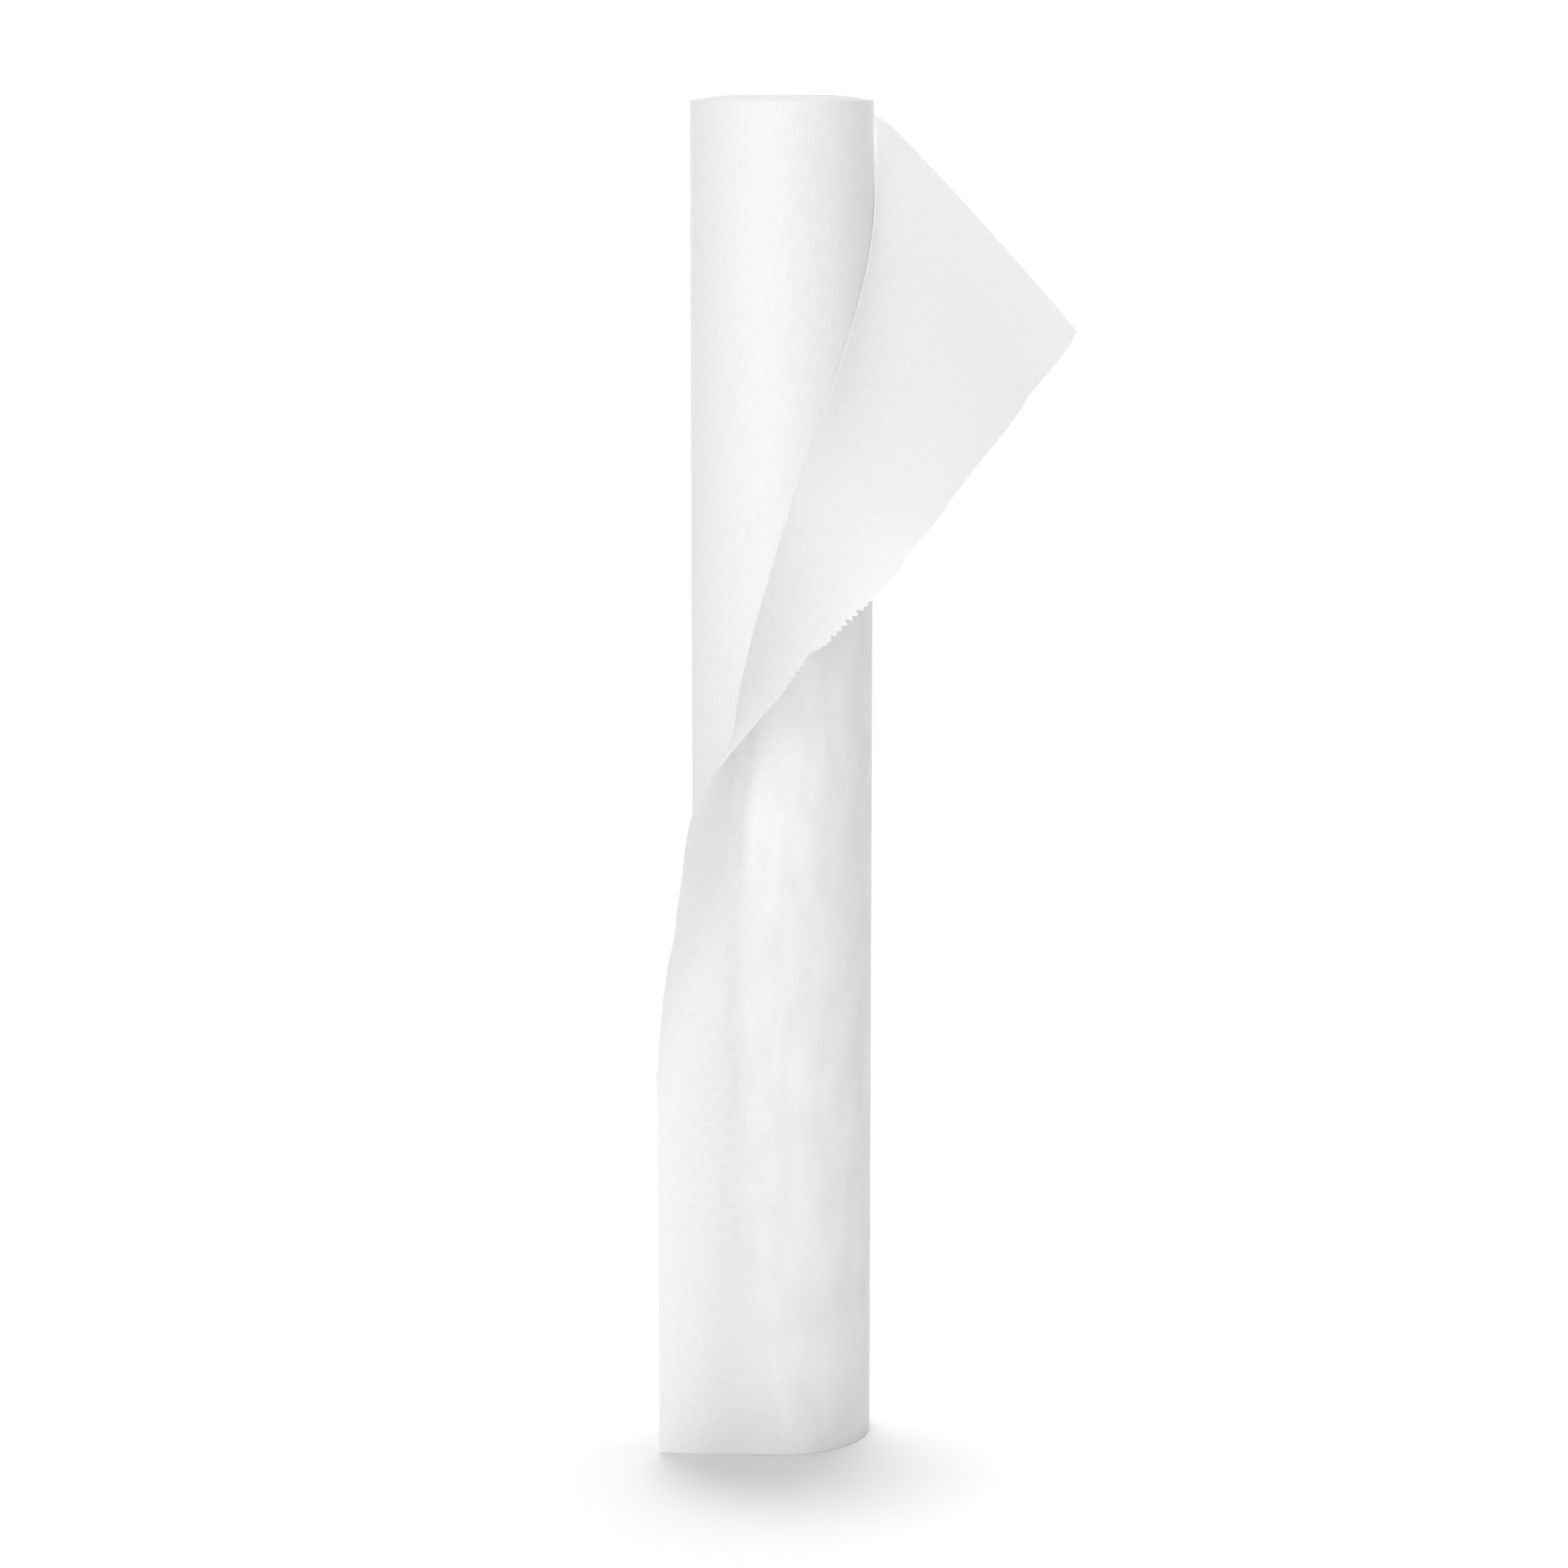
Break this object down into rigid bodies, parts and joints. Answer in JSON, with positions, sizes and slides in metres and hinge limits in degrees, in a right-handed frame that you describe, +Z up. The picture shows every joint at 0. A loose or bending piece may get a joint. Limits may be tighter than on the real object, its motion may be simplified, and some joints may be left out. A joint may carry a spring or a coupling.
{
  "type": "exam table paper roll",
  "caption": "Roll of smooth white exam table paper wound on a cardboard tube, standing on its end, with its loose outer leaf turned back at the upper corner.",
  "frame": {"origin": "centre of the tube's bore at its lower end, in the plane that the roll stands on", "axes": "+Z up along the roll, -Y to the front, where the turned-back corner shows, +X to the right as seen from the front"},
  "size_m": [0.1672, 0.1107, 0.5354],
  "materials": {
    "paper": "smooth matte",
    "cardboard": "matte"
  },
  "bodies": {
    "root": {"paper_roll": "paper", "core_tube": "cardboard"}
  },
  "joints": []
}
